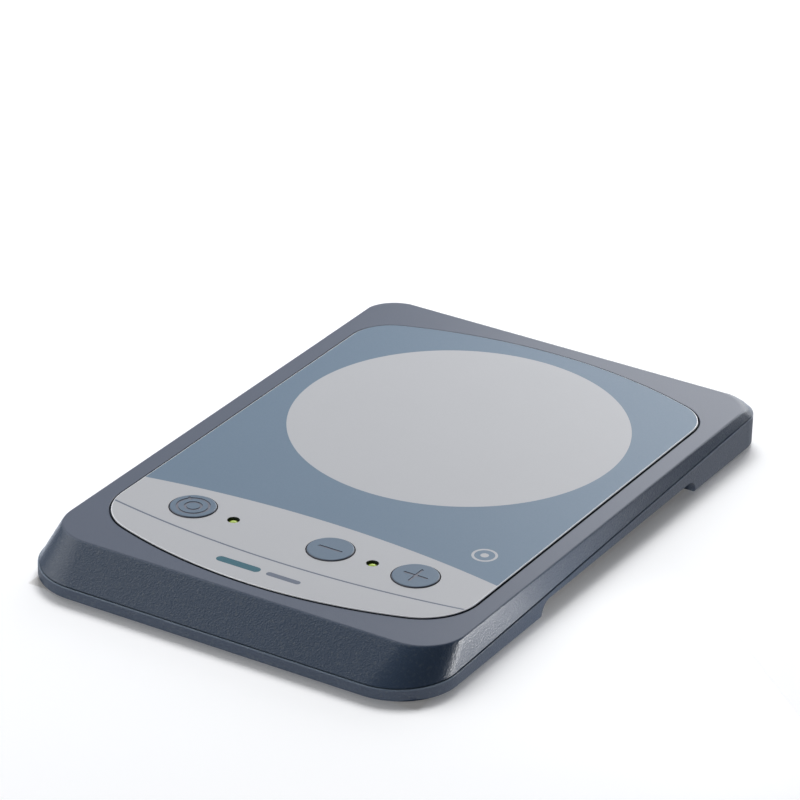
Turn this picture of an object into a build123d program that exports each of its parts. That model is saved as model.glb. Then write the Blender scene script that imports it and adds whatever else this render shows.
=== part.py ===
from build123d import *
import os

# Overall size, in millimetres: x across, y from front (-) to rear (+), z up from the ground
WIDTH = 121.8
DEPTH = 180.0
PAD_GAP = 0.8              # the rubber pads hold the plastic this far off the ground
TOP_Z = 11.7               # flat top of the cover
PANEL_TOP_Z = 12.0         # satin control panel, a little proud of the cover
OVERLAP = 0.1              # joined solids run this far into each other

# Base outline and the sloping joint line between base and cover
FRONT_Y = -DEPTH / 2
REAR_Y = DEPTH / 2
BASE_FRONT_RADIUS = 17.1
BASE_REAR_RADIUS = 8.8
JOINT_FRONT_Z = 4.2
JOINT_REAR_Z = 9.7
LEDGE = 0.4                # the base stands this far proud of the cover's lower edge

# Cover: a small flare at the sides and rear, a long slanted face in front
TOP_HALF_WIDTH = 58.95
TOP_FRONT_Y = -78.5
TOP_REAR_Y = 88.3
TOP_FRONT_RADIUS = 12.3
TOP_REAR_RADIUS = 11.6
TOP_EDGE_RADIUS = 0.6
CEILING_Z = 9.8            # underside of the cover's top wall
COVER_INNER_X = 56.2
COVER_INNER_FRONT_LOW_Y = -86.2
COVER_INNER_FRONT_HIGH_Y = -77.4
COVER_INNER_REAR_Y = 85.7
COVER_INNER_FRONT_LOW_RADIUS = 14.0
COVER_INNER_FRONT_HIGH_RADIUS = 11.0
COVER_INNER_REAR_RADIUS = 7.5

# Base tub
WALL = 2.0
FLOOR_TOP_Z = 2.4
BOTTOM_EDGE_RADIUS = 0.8
LEDGE_EDGE_RADIUS = 0.15

# Finger recesses under both sides, between the front and the rear foot
GRIP_FRONT_Y = -31.5
GRIP_REAR_Y = 51.0
GRIP_TOP_Z = 4.9
GRIP_INNER_X = 45.0
GRIP_RADIUS = 4.0
GRIP_LINER = 0.9

# Control panel: straight sides, front and rear edges bowed outwards
PANEL_HALF_WIDTH = 53.3
PANEL_FRONT_Y = -74.0
PANEL_REAR_Y = 82.7
PANEL_BOW_RADIUS = 126.8
PANEL_FRONT_RADIUS = 16.5
PANEL_REAR_RADIUS = 13.0
PANEL_THICKNESS = 1.0
PANEL_GAP = 0.5
PANEL_BEVEL = 0.25
ADHESIVE = 0.2
ADHESIVE_INSET = 1.0

# Push buttons and indicator lights
BUTTON_X = {"power": -33.45, "minus": 8.24, "plus": 33.45}
BUTTON_Y = -47.85
BUTTON_HOLE_RADIUS = 6.4
BUTTON_RADIUS = 6.15
BUTTON_TOP_Z = 12.3
BUTTON_EDGE_RADIUS = 0.35
BUTTON_TRAVEL = 0.5
FLANGE_SIZE = (15.4, 13.2)
FLANGE_THICKNESS = 0.65
GUIDE_CLEARANCE = 0.3
GUIDE_WALL = 0.9
GUIDE_BOTTOM_Z = 8.7
SYMBOL_DEPTH = 0.15
SYMBOL_LINE = 0.7
SYMBOL_LENGTH = 6.9
SYMBOL_RING_RADII = (4.2, 2.1)
SYMBOL_MARK = (1.8, 135)            # length, direction in degrees
LIGHT_X = 20.9
LIGHT_Y = -48.1
LIGHT_HOLE_RADIUS = 1.65
LIGHT_RADIUS = 1.5
LIGHT_TOP_Z = 11.7
LIGHT_BOTTOM_Z = 6.0
LIGHT_COLLAR = (1.9, 1.0)           # radius, height
LEAD_OFFSET = 1.27
LEAD_HALF_WIDTH = 0.25
LEAD_HOLE_RADIUS = 0.45

# Control board and what it carries
BOARD_HALF_WIDTH = 42.0
BOARD_FRONT_Y = -70.0
BOARD_REAR_Y = -26.0
BOARD_BOTTOM_Z = 3.6
BOARD_TOP_Z = 4.8
BOARD_CORNER_RADIUS = 2.0
SWITCH_SIZE = 6.0
SWITCH_TOP_Z = 8.2
PLUNGER_TOP_Z = 9.0
PLUNGER_RADIUS = 1.75
PLUNGER_HOLE_RADIUS = 1.82
PLUNGER_BOTTOM_Z = 6.6
PLUNGER_COLLAR = (2.35, 0.7)        # radius, height
SWITCH_CHAMBER = (2.65, 0.8)        # radius, reach below and above the stem's lower end
SWITCH_CHAMFER = 0.5
CHIP_BEVEL = 0.3
DRIVER_X = (-20.0, -12.5, 12.5, 20.0)
DRIVER_Y = -35.0
LARGE_PARTS_Y = -62.0
CONTROLLER_X = -8.0
CONTROLLER_SIZE = (9.0, 9.0, 1.4)
DRIVER_SIZE = (6.0, 5.0, 1.6)
INDUCTOR_SIZE = (7.0, 7.0, 3.0)
INDUCTOR_X = -24.0
CAPACITOR_X = (16.0, 25.0)
CAPACITOR_CAN = (3.1, 4.4)          # radius, height above the board
CAPACITOR_FOOT = (6.6, 0.6)         # width, thickness
CAPACITOR_ROUNDING = 0.4
SOCKET_HALF_WIDTH = 6.0
SOCKET_DEPTH = 5.0
SOCKET_TOP_Z = 8.2
PLUG_HALF_WIDTH = 5.5
PLUG_DEPTH = 4.5
PLUG_Z = (5.2, 7.8)
PLUG_OVERHANG = 2.5
POWER_PLUG_X = (-38.0, -32.0)
POWER_PLUG_DEPTH = 2.0
POWER_PLUG_Z = (2.8, 6.2)

# Stirring coils under the light disc
DISC_Y = 30.0
COIL_OFFSET = 18.3
YOKE_SIZE = 80.0
YOKE_BOTTOM_Z = 3.4
YOKE_TOP_Z = 4.4
YOKE_CORNER_RADIUS = 3.0
CORE_RADIUS = 6.0
CORE_SPIGOT_RADIUS = 2.5
CORE_TOP_Z = 9.4
BOBBIN_HOLE_RADIUS = 6.05
BOBBIN_TUBE_RADIUS = 6.9
BOBBIN_FLANGE_RADIUS = 17.0
BOBBIN_FLANGE = 0.6
BOBBIN_TOP_Z = 9.2
WINDING_RADIUS = 16.0

# Direct-current inlet in the rear wall
JACK_Z = 5.6
JACK_HALF_WIDTH = 3.5
JACK_HALF_HEIGHT = 3.0
JACK_NOSE_RADIUS = 2.9
JACK_HOLE_RADIUS = 3.0
JACK_BORE_RADIUS = 1.95
JACK_PIN_RADIUS = 0.65
JACK_BACK_Y = 78.0
JACK_MOUTH_Y = 89.8
JACK_RIB = 1.5
JACK_RIB_TOP_Z = 7.4
JACK_RIB_BACK_Y = JACK_BACK_Y + 1
JACK_NOSE_BACK_Y = JACK_BACK_Y + 2
JACK_BORE_BACK_Y = JACK_BACK_Y + 3
JACK_PIN_INSET = 1.2
JACK_PIN_ROUNDING = 0.3
TAB_X = 1.6
TAB_HALF_WIDTH = 0.6
TAB_LENGTH = 1.6
TAB_Z = (3.0, 5.6)

# Fasteners, pads and wires
HOUSING_SCREW_XY = [(-50, -60), (50, -60), (-50, 62), (50, 62)]
BOARD_SCREW_XY = [(-38.5, -66.5), (38.5, -66.5), (-38.5, -29.5), (38.5, -29.5)]
YOKE_SCREW_XY = [(x, DISC_Y + y) for x in (-36, 36) for y in (-36, 36)]
HOUSING_SCREW_RADIUS = 1.3
SMALL_SCREW_RADIUS = 1.0
LARGE_SCREW = (HOUSING_SCREW_RADIUS, 2.4, 1.4)    # shaft radius, head radius, head height
SMALL_SCREW = (SMALL_SCREW_RADIUS, 1.9, 1.2)
HEAD_ROUNDING = 0.3        # shares of the head's height
SLOT_DEPTH = 1 / 3
SLOT_WIDTH = 0.25          # shares of the head's radius
SLOT_LENGTH = 1.2
COVER_BOSS_RADIUS = 3.4
BASE_BOSS_RADIUS = 4.2
SMALL_BOSS_RADIUS = 2.6
SCREW_CLEARANCE = 0.1
COUNTERBORE_RADIUS = 2.7
HOUSING_SCREW_SEAT_Z = 2.6
HOUSING_SCREW_TIP_Z = 9.0
HOUSING_SCREW_HOLE_TOP_Z = 9.6
SMALL_SCREW_TIP_Z = 1.8
SMALL_SCREW_HOLE_BOTTOM_Z = 1.5
PAD_XY = {"front_left": (-48, -76), "front_right": (48, -76), "rear_left": (-48, 78), "rear_right": (48, 78)}
PAD_RADIUS = 6.0
PAD_TOP_Z = 1.6
PAD_CLEARANCE = 0.05
PAD_BEVEL = 0.4
WIRE_RADIUS = 0.6
WIRE_Z = 6.5
WIRE_BEND = 2.5
RATING_PLATE = (40.0, 24.0, 0.25)
PLATE_POCKET_MARGIN = 0.2
PLATE_POCKET_DEPTH = 0.3
POWER_WIRES = ((-1.6, -36.5, 3.6), (1.6, -33.5, 5.0))     # x at the inlet, x at the connector, height
POWER_WIRE_REAR_Y = 73.0
POWER_WIRE_LEFT_X = -41.7
POWER_WIRE_FRONT_Y = -20.0
COIL_WIRE_X = (4.5, 1.5)            # leads of the front and of the rear coils, where they leave the plug
COIL_WIRE_TURN_Y = (-17.0, -11.0)


def cylinder(x, y, radius, z_low, z_high):
    """Upright cylinder between two heights."""
    height = z_high - z_low
    return Pos(x, y, z_low + height / 2) * Cylinder(radius, height)


def block(x_low, x_high, y_low, y_high, z_low, z_high):
    """Rectangular block between two corners."""
    centre = ((x_low + x_high) / 2, (y_low + y_high) / 2, (z_low + z_high) / 2)
    return Pos(*centre) * Box(x_high - x_low, y_high - y_low, z_high - z_low)


def lying_cylinder(radius, y_low, y_high):
    """Cylinder along the depth, on the axis of the power inlet."""
    length = y_high - y_low
    return Pos(0, y_low + length / 2, JACK_Z) * Rot(90, 0, 0) * Cylinder(radius, length)


def rounded_plan(half_width, front_y, rear_y, front_radius, rear_radius):
    """Plan outline: a rectangle with one corner radius in front and another at the rear."""
    plan = Pos(0, (front_y + rear_y) / 2) * Rectangle(2 * half_width, rear_y - front_y)
    plan = fillet(plan.vertices().group_by(Axis.Y)[0], front_radius)
    return fillet(plan.vertices().group_by(Axis.Y)[-1], rear_radius)


def base_plan(inset):
    """Outline of the base, moved inwards by inset."""
    return rounded_plan(
        WIDTH / 2 - inset,
        FRONT_Y + inset,
        REAR_Y - inset,
        BASE_FRONT_RADIUS - inset,
        BASE_REAR_RADIUS - inset,
    )


def panel_plan(margin):
    """Outline of the control panel, moved outwards by margin."""
    bow = PANEL_BOW_RADIUS + margin
    front_bow = Pos(0, PANEL_FRONT_Y + PANEL_BOW_RADIUS) * Circle(bow)
    rear_bow = Pos(0, PANEL_REAR_Y - PANEL_BOW_RADIUS) * Circle(bow)
    plan = Rectangle(2 * (PANEL_HALF_WIDTH + margin), 2 * DEPTH) & front_bow & rear_bow
    plan = fillet(plan.vertices().group_by(Axis.Y)[0], PANEL_FRONT_RADIUS + margin)
    return fillet(plan.vertices().group_by(Axis.Y)[-1], PANEL_REAR_RADIUS + margin)


def extruded(plan, z_low, z_high):
    """Plan outline raised between two heights."""
    return extrude(Pos(0, 0, z_low) * plan, z_high - z_low)


def side_profile(points, half_width):
    """Solid whose outline seen from the side is given as (y, z) points."""
    return extrude(Plane.YZ * make_face(Polyline(*points, close=True)), half_width, both=True)


def under_joint_line():
    """Everything under the sloping plane in which base and cover meet."""
    slope = (JOINT_REAR_Z - JOINT_FRONT_Z) / DEPTH
    run = 20.0
    points = [
        (FRONT_Y - run, -1),
        (REAR_Y + run, -1),
        (REAR_Y + run, JOINT_REAR_Z + slope * run),
        (FRONT_Y - run, JOINT_FRONT_Z - slope * run),
    ]
    return side_profile(points, WIDTH)


def mirrored(shape):
    """The shape and its mirror image across the centre plane."""
    return [shape, mirror(shape, about=Plane.YZ)]


def grip_void():
    """Finger recess under the right side, open downwards and outwards."""
    outline = Polyline(
        (GRIP_FRONT_Y, -1),
        (GRIP_REAR_Y, -1),
        (GRIP_REAR_Y, GRIP_TOP_Z),
        (GRIP_FRONT_Y, GRIP_TOP_Z),
        close=True,
    )
    side = make_face(outline)
    side = fillet(side.vertices().group_by(Axis.Y)[-1], GRIP_RADIUS)
    side_solid = extrude(Plane.YZ * side, WIDTH)
    centre = (GRIP_INNER_X + WIDTH / 2, (GRIP_FRONT_Y + GRIP_REAR_Y) / 2)
    plan = Pos(*centre) * Rectangle(WIDTH, GRIP_REAR_Y - GRIP_FRONT_Y)
    plan = fillet(plan.vertices().group_by(Axis.X)[0], 1.5 * GRIP_RADIUS)
    return side_solid & extruded(plan, -1, GRIP_TOP_Z + 1)


def grip_liner():
    """Wall and ceiling around the right finger recess, inside the tub."""
    return block(
        GRIP_INNER_X - GRIP_LINER,
        WIDTH / 2 - WALL,
        GRIP_FRONT_Y - GRIP_LINER,
        GRIP_REAR_Y + GRIP_LINER,
        FLOOR_TOP_Z - OVERLAP,
        GRIP_TOP_Z + GRIP_LINER,
    )


def make_base():
    """Lower tub: floor, walls up to the joint line, feet, finger recesses and bosses."""
    tub = extruded(base_plan(0), PAD_GAP, TOP_Z)
    tub = fillet(tub.faces().sort_by(Axis.Z)[0].edges(), BOTTOM_EDGE_RADIUS)
    tub = tub & under_joint_line()
    tub = fillet(tub.faces().sort_by(Axis.Z)[-1].edges(), LEDGE_EDGE_RADIUS)
    tub -= extruded(base_plan(WALL), FLOOR_TOP_Z, TOP_Z)
    for liner in mirrored(grip_liner()):
        tub += liner
    for x, y in HOUSING_SCREW_XY:
        tub += cylinder(x, y, BASE_BOSS_RADIUS, FLOOR_TOP_Z - OVERLAP, JOINT_FRONT_Z)
    for x, y in BOARD_SCREW_XY:
        tub += cylinder(x, y, SMALL_BOSS_RADIUS, FLOOR_TOP_Z - OVERLAP, BOARD_BOTTOM_Z)
    for x, y in YOKE_SCREW_XY:
        tub += cylinder(x, y, SMALL_BOSS_RADIUS, FLOOR_TOP_Z - OVERLAP, YOKE_BOTTOM_Z)
    rib_x = JACK_HALF_WIDTH + JACK_RIB
    rib_z = FLOOR_TOP_Z - OVERLAP
    rib = block(JACK_HALF_WIDTH, rib_x, JACK_RIB_BACK_Y, REAR_Y - WALL, rib_z, JACK_RIB_TOP_Z)
    for side_rib in mirrored(rib):
        tub += side_rib
    for void in mirrored(grip_void()):
        tub -= void
    for x, y in HOUSING_SCREW_XY:
        tub -= cylinder(x, y, COUNTERBORE_RADIUS, 0, HOUSING_SCREW_SEAT_Z)
        tub -= cylinder(x, y, HOUSING_SCREW_RADIUS + SCREW_CLEARANCE, 0, JOINT_FRONT_Z)
    for x, y in BOARD_SCREW_XY:
        tub -= cylinder(x, y, SMALL_SCREW_RADIUS, SMALL_SCREW_HOLE_BOTTOM_Z, BOARD_BOTTOM_Z)
    for x, y in YOKE_SCREW_XY:
        tub -= cylinder(x, y, SMALL_SCREW_RADIUS, SMALL_SCREW_HOLE_BOTTOM_Z, YOKE_BOTTOM_Z)
    for x, y in PAD_XY.values():
        tub -= cylinder(x, y, PAD_RADIUS + PAD_CLEARANCE, 0, PAD_TOP_Z)
    pocket = [side + 2 * PLATE_POCKET_MARGIN for side in RATING_PLATE[:2]]
    tub -= Pos(0, 0, PAD_GAP) * Box(*pocket, 2 * PLATE_POCKET_DEPTH)
    tub -= lying_cylinder(JACK_HOLE_RADIUS, REAR_Y - 2 * WALL, REAR_Y + WALL)
    return tub


def hollow_plan(front_y, front_radius):
    """Outline of the hollow inside the cover; only its front end changes with the height."""
    return rounded_plan(COVER_INNER_X, front_y, COVER_INNER_REAR_Y, front_radius, COVER_INNER_REAR_RADIUS)


def make_cover():
    """Upper shell: flat bezel, flared walls, panel recess, holes, guides and screw bosses."""
    top = Pos(0, 0, TOP_Z) * rounded_plan(
        TOP_HALF_WIDTH, TOP_FRONT_Y, TOP_REAR_Y, TOP_FRONT_RADIUS, TOP_REAR_RADIUS
    )
    lower = extruded(base_plan(LEDGE), 0, TOP_Z) & under_joint_line()
    joint_face = lower.faces().sort_by(Axis.Z)[-1]
    cover = loft([joint_face, top.face()], ruled=True)
    cover = fillet(cover.faces().sort_by(Axis.Z)[-1].edges(), TOP_EDGE_RADIUS)
    high = hollow_plan(COVER_INNER_FRONT_HIGH_Y, COVER_INNER_FRONT_HIGH_RADIUS)
    low = hollow_plan(COVER_INNER_FRONT_LOW_Y, COVER_INNER_FRONT_LOW_RADIUS)
    cover -= loft([Pos(0, 0, JOINT_FRONT_Z) * low, Pos(0, 0, CEILING_Z) * high], ruled=True)
    cover -= extruded(low, 0, JOINT_FRONT_Z)
    for x in BUTTON_X.values():
        inner = (FLANGE_SIZE[0] + 2 * GUIDE_CLEARANCE, FLANGE_SIZE[1] + 2 * GUIDE_CLEARANCE)
        frame = Rectangle(inner[0] + 2 * GUIDE_WALL, inner[1] + 2 * GUIDE_WALL) - Rectangle(*inner)
        cover += extruded(Pos(x, BUTTON_Y) * frame, GUIDE_BOTTOM_Z, CEILING_Z + OVERLAP)
    for x, y in HOUSING_SCREW_XY:
        cover += cylinder(x, y, COVER_BOSS_RADIUS, JOINT_FRONT_Z, CEILING_Z + OVERLAP)
        cover -= cylinder(x, y, HOUSING_SCREW_RADIUS, 0, HOUSING_SCREW_HOLE_TOP_Z)
    recess_floor = PANEL_TOP_Z - PANEL_THICKNESS - ADHESIVE
    cover -= extruded(panel_plan(PANEL_GAP), recess_floor, PANEL_TOP_Z)
    return cover - panel_holes(GUIDE_BOTTOM_Z)


def panel_holes(z_low):
    """Button and indicator holes, cut down to z_low."""
    holes = Sketch()
    for x in BUTTON_X.values():
        holes += Pos(x, BUTTON_Y) * Circle(BUTTON_HOLE_RADIUS)
    for x in (-LIGHT_X, LIGHT_X):
        holes += Pos(x, LIGHT_Y) * Circle(LIGHT_HOLE_RADIUS)
    return extruded(holes, z_low, PANEL_TOP_Z + 1)


def make_panel():
    """Printed control panel with softened top edges."""
    panel = extruded(panel_plan(0), PANEL_TOP_Z - PANEL_THICKNESS, PANEL_TOP_Z)
    panel = chamfer(panel.faces().sort_by(Axis.Z)[-1].edges(), PANEL_BEVEL)
    return panel - panel_holes(0)


def make_adhesive():
    """Double-sided sheet that holds the panel in its recess."""
    z_high = PANEL_TOP_Z - PANEL_THICKNESS
    return extruded(panel_plan(-ADHESIVE_INSET), z_high - ADHESIVE, z_high) - panel_holes(0)


def symbol_plan(name):
    """Engraved sign of one button: two rings and a mark, a minus or a plus."""
    bar = Rectangle(SYMBOL_LENGTH, SYMBOL_LINE)
    if name == "minus":
        return bar
    if name == "plus":
        return bar + Rectangle(SYMBOL_LINE, SYMBOL_LENGTH)
    rings = Sketch()
    for radius in SYMBOL_RING_RADII:
        rings += Circle(radius + SYMBOL_LINE / 2) - Circle(radius - SYMBOL_LINE / 2)
    length, direction = SYMBOL_MARK
    mark = Rot(0, 0, direction) * Pos(SYMBOL_RING_RADII[0], 0) * Rectangle(length, SYMBOL_LINE)
    return rings + mark


def make_button(name):
    """Round key with a square-cornered flange that its guide keeps from turning."""
    cap = cylinder(0, 0, BUTTON_RADIUS, PLUNGER_TOP_Z + OVERLAP, BUTTON_TOP_Z)
    cap = fillet(cap.faces().sort_by(Axis.Z)[-1].edges(), BUTTON_EDGE_RADIUS)
    flange = block(
        -FLANGE_SIZE[0] / 2,
        FLANGE_SIZE[0] / 2,
        -FLANGE_SIZE[1] / 2,
        FLANGE_SIZE[1] / 2,
        PLUNGER_TOP_Z,
        PLUNGER_TOP_Z + FLANGE_THICKNESS,
    )
    key = cap + flange
    key -= extruded(symbol_plan(name), BUTTON_TOP_Z - SYMBOL_DEPTH, BUTTON_TOP_Z + 1)
    return Pos(BUTTON_X[name], BUTTON_Y) * key


def make_plunger(name):
    """Moving stem of a tact switch."""
    x = BUTTON_X[name]
    radius, height = PLUNGER_COLLAR
    collar = cylinder(x, BUTTON_Y, radius, PLUNGER_BOTTOM_Z, PLUNGER_BOTTOM_Z + height)
    return cylinder(x, BUTTON_Y, PLUNGER_RADIUS, PLUNGER_BOTTOM_Z, PLUNGER_TOP_Z) + collar


def make_switch(name):
    """Fixed housing of a tact switch, with the chamber its stem runs in."""
    x = BUTTON_X[name]
    half = SWITCH_SIZE / 2
    body = block(x - half, x + half, BUTTON_Y - half, BUTTON_Y + half, BOARD_TOP_Z, SWITCH_TOP_Z)
    body = chamfer(body.edges().filter_by(Axis.Z), SWITCH_CHAMFER)
    body -= cylinder(x, BUTTON_Y, PLUNGER_HOLE_RADIUS, PLUNGER_BOTTOM_Z, SWITCH_TOP_Z + 1)
    radius, reach = SWITCH_CHAMBER
    return body - cylinder(x, BUTTON_Y, radius, PLUNGER_BOTTOM_Z - reach, PLUNGER_BOTTOM_Z + reach)


def lead_places(x):
    """Where the two leads of a lamp stand."""
    return (x - LEAD_OFFSET, x + LEAD_OFFSET)


def make_light(x):
    """Three-millimetre indicator lamp: dome, collar and two leads through the board."""
    dome_z = LIGHT_TOP_Z - LIGHT_RADIUS
    lamp = cylinder(x, LIGHT_Y, LIGHT_RADIUS, LIGHT_BOTTOM_Z, dome_z)
    lamp += Pos(x, LIGHT_Y, dome_z) * Sphere(LIGHT_RADIUS)
    radius, height = LIGHT_COLLAR
    lamp += cylinder(x, LIGHT_Y, radius, LIGHT_BOTTOM_Z, LIGHT_BOTTOM_Z + height)
    for lead_x in lead_places(x):
        lead_height = LIGHT_BOTTOM_Z + OVERLAP - BOARD_BOTTOM_Z
        lead = Box(2 * LEAD_HALF_WIDTH, 2 * LEAD_HALF_WIDTH, lead_height)
        lamp += Pos(lead_x, LIGHT_Y, BOARD_BOTTOM_Z + lead_height / 2) * lead
    return lamp


def make_board():
    """Circuit board with its screw and lead holes."""
    corner = BOARD_CORNER_RADIUS
    plan = rounded_plan(BOARD_HALF_WIDTH, BOARD_FRONT_Y, BOARD_REAR_Y, corner, corner)
    for x, y in BOARD_SCREW_XY:
        plan -= Pos(x, y) * Circle(SMALL_SCREW_RADIUS + SCREW_CLEARANCE)
    for x in (-LIGHT_X, LIGHT_X):
        for lead_x in lead_places(x):
            plan -= Pos(lead_x, LIGHT_Y) * Circle(LEAD_HOLE_RADIUS)
    return extruded(plan, BOARD_BOTTOM_Z, BOARD_TOP_Z)


def chip(x, y, width, depth, height):
    """Moulded chip body on the board with bevelled top edges."""
    body = Pos(x, y, BOARD_TOP_Z + height / 2) * Box(width, depth, height)
    return chamfer(body.faces().sort_by(Axis.Z)[-1].edges(), CHIP_BEVEL)


def make_capacitor(x, y):
    """Low aluminium can on its square foot."""
    width, thickness = CAPACITOR_FOOT
    radius, height = CAPACITOR_CAN
    foot = Pos(x, y, BOARD_TOP_Z + thickness / 2) * Box(width, width, thickness)
    can = cylinder(x, y, radius, BOARD_TOP_Z + thickness - OVERLAP, BOARD_TOP_Z + height)
    return foot + fillet(can.faces().sort_by(Axis.Z)[-1].edges(), CAPACITOR_ROUNDING)


def make_coil_socket():
    """Board socket for the coils' leads."""
    plug_face_y = BOARD_REAR_Y + PLUG_OVERHANG - PLUG_DEPTH
    half = SOCKET_HALF_WIDTH
    return block(-half, half, plug_face_y - SOCKET_DEPTH, plug_face_y, BOARD_TOP_Z, SOCKET_TOP_Z)


def make_coil_plug():
    """Plug of the coils' leads, against the face of its socket."""
    rear_y = BOARD_REAR_Y + PLUG_OVERHANG
    return block(-PLUG_HALF_WIDTH, PLUG_HALF_WIDTH, rear_y - PLUG_DEPTH, rear_y, *PLUG_Z)


def make_power_connector():
    """Connector of the supply wires, on the board's rear edge."""
    return block(*POWER_PLUG_X, BOARD_REAR_Y, BOARD_REAR_Y + POWER_PLUG_DEPTH, *POWER_PLUG_Z)


def wire(points):
    """Round insulated wire along straight runs joined by arcs."""
    path = FilletPolyline(*points, radius=WIRE_BEND) if len(points) > 2 else Polyline(*points)
    start = Vector(*points[0])
    heading = Vector(*points[1]) - start
    return sweep(Plane(start, z_dir=heading) * Circle(WIRE_RADIUS), path=path)


def coil_centres():
    """Centres of the four coils, in the order front left, front right, rear left, rear right."""
    return [(x, DISC_Y + y) for y in (-COIL_OFFSET, COIL_OFFSET) for x in (-COIL_OFFSET, COIL_OFFSET)]


def make_yoke():
    """Flat steel plate that carries the four cores."""
    half = YOKE_SIZE / 2
    corner = YOKE_CORNER_RADIUS
    plan = rounded_plan(half, DISC_Y - half, DISC_Y + half, corner, corner)
    for x, y in coil_centres():
        plan -= Pos(x, y) * Circle(CORE_SPIGOT_RADIUS)
    for x, y in YOKE_SCREW_XY:
        plan -= Pos(x, y) * Circle(SMALL_SCREW_RADIUS + SCREW_CLEARANCE)
    return extruded(plan, YOKE_BOTTOM_Z, YOKE_TOP_Z)


def make_bobbin(x, y):
    """Moulded coil former: a tube between two flanges."""
    former = cylinder(x, y, BOBBIN_TUBE_RADIUS, YOKE_TOP_Z, BOBBIN_TOP_Z)
    former += cylinder(x, y, BOBBIN_FLANGE_RADIUS, YOKE_TOP_Z, YOKE_TOP_Z + BOBBIN_FLANGE)
    former += cylinder(x, y, BOBBIN_FLANGE_RADIUS, BOBBIN_TOP_Z - BOBBIN_FLANGE, BOBBIN_TOP_Z)
    return former - cylinder(x, y, BOBBIN_HOLE_RADIUS, 0, TOP_Z)


def make_winding(x, y):
    """Copper winding that fills the former between its flanges."""
    z_low = YOKE_TOP_Z + BOBBIN_FLANGE
    z_high = BOBBIN_TOP_Z - BOBBIN_FLANGE
    return cylinder(x, y, WINDING_RADIUS, z_low, z_high) - cylinder(x, y, BOBBIN_TUBE_RADIUS, 0, TOP_Z)


def make_core(x, y):
    """Steel core with the spigot that is riveted into the yoke."""
    core = cylinder(x, y, CORE_RADIUS, YOKE_TOP_Z, CORE_TOP_Z)
    return core + cylinder(x, y, CORE_SPIGOT_RADIUS, YOKE_BOTTOM_Z, YOKE_TOP_Z + OVERLAP)


def make_jack():
    """Moulded body of the power inlet: block, round nose and blind bore."""
    body = block(
        -JACK_HALF_WIDTH,
        JACK_HALF_WIDTH,
        JACK_BACK_Y,
        REAR_Y - WALL,
        JACK_Z - JACK_HALF_HEIGHT,
        JACK_Z + JACK_HALF_HEIGHT,
    )
    body += lying_cylinder(JACK_NOSE_RADIUS, JACK_NOSE_BACK_Y, JACK_MOUTH_Y)
    body -= lying_cylinder(JACK_BORE_RADIUS, JACK_BORE_BACK_Y, JACK_MOUTH_Y)
    return body - lying_cylinder(JACK_PIN_RADIUS, JACK_BACK_Y, JACK_MOUTH_Y)


def make_jack_pin():
    """Centre contact of the inlet, with a rounded tip."""
    pin = lying_cylinder(JACK_PIN_RADIUS, JACK_BACK_Y, JACK_MOUTH_Y - JACK_PIN_INSET)
    return fillet(pin.faces().sort_by(Axis.Y)[-1].edges(), JACK_PIN_ROUNDING)


def make_tab(x):
    """Solder tab behind the inlet."""
    half = TAB_HALF_WIDTH
    return block(x - half, x + half, JACK_BACK_Y - TAB_LENGTH, JACK_BACK_Y, *TAB_Z)


def make_screw(x, y, size, seat_z, tip_z):
    """Pan-head screw with a cross slot; the head lies beyond seat_z, away from the tip."""
    shaft_radius, head_radius, head_height = size
    outwards = 1 if tip_z < seat_z else -1
    head_z = seat_z + outwards * head_height
    shaft = cylinder(x, y, shaft_radius, min(seat_z, tip_z), max(seat_z, tip_z))
    head = cylinder(x, y, head_radius, min(seat_z, head_z), max(seat_z, head_z))
    outer = head.faces().sort_by(Axis.Z)[-1 if outwards > 0 else 0]
    head = fillet(outer.edges(), HEAD_ROUNDING * head_height)
    slot_z = head_z - outwards * SLOT_DEPTH * head_height
    narrow, long = SLOT_WIDTH * head_radius, SLOT_LENGTH * head_radius
    for width, depth in ((narrow, long), (long, narrow)):
        head -= Pos(x, y, slot_z + outwards * head_height / 2) * Box(width, depth, head_height)
    return shaft + head


def make_screws(places, size, seat_z, tip_z):
    """One screw at each place."""
    return [make_screw(x, y, size, seat_z, tip_z) for x, y in places]


def make_pad(x, y):
    """Round rubber pad, set into a pocket of the floor."""
    pad = cylinder(x, y, PAD_RADIUS, 0, PAD_TOP_Z)
    return chamfer(pad.faces().sort_by(Axis.Z)[0].edges(), PAD_BEVEL)


def make_power_wires():
    """Two wires from the inlet, round the yoke's left edge, to the board's connector."""
    wires = []
    lowest = POWER_WIRES[0][2]
    for jack_x, plug_x, z in POWER_WIRES:
        rear_y = POWER_WIRE_REAR_Y - (z - lowest)
        front_y = POWER_WIRE_FRONT_Y + (z - lowest)
        points = [
            (jack_x, JACK_BACK_Y - TAB_LENGTH, z),
            (jack_x, rear_y, z),
            (POWER_WIRE_LEFT_X, rear_y, z),
            (POWER_WIRE_LEFT_X, front_y, z),
            (plug_x, front_y, z),
            (plug_x, BOARD_REAR_Y + POWER_PLUG_DEPTH, z),
        ]
        wires.append(wire(points))
    return wires


def make_coil_wires():
    """One twin lead from the connector to each coil."""
    front_y = DISC_Y - COIL_OFFSET - WINDING_RADIUS
    gap = COIL_OFFSET - WINDING_RADIUS * 2**-0.5
    plug_y = BOARD_REAR_Y + PLUG_OVERHANG
    front_x, rear_x = COIL_WIRE_X
    turn_start_y, turn_end_y = COIL_WIRE_TURN_Y
    routes = [
        [(front_x, plug_y), (front_x, turn_start_y), (COIL_OFFSET, turn_end_y), (COIL_OFFSET, front_y)],
        [(rear_x, plug_y), (rear_x, DISC_Y + rear_x), (gap, DISC_Y + gap)],
    ]
    wires = [wire([(x, y, WIRE_Z) for x, y in route]) for route in routes]
    return [side for each in wires for side in mirrored(each)]


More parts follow.
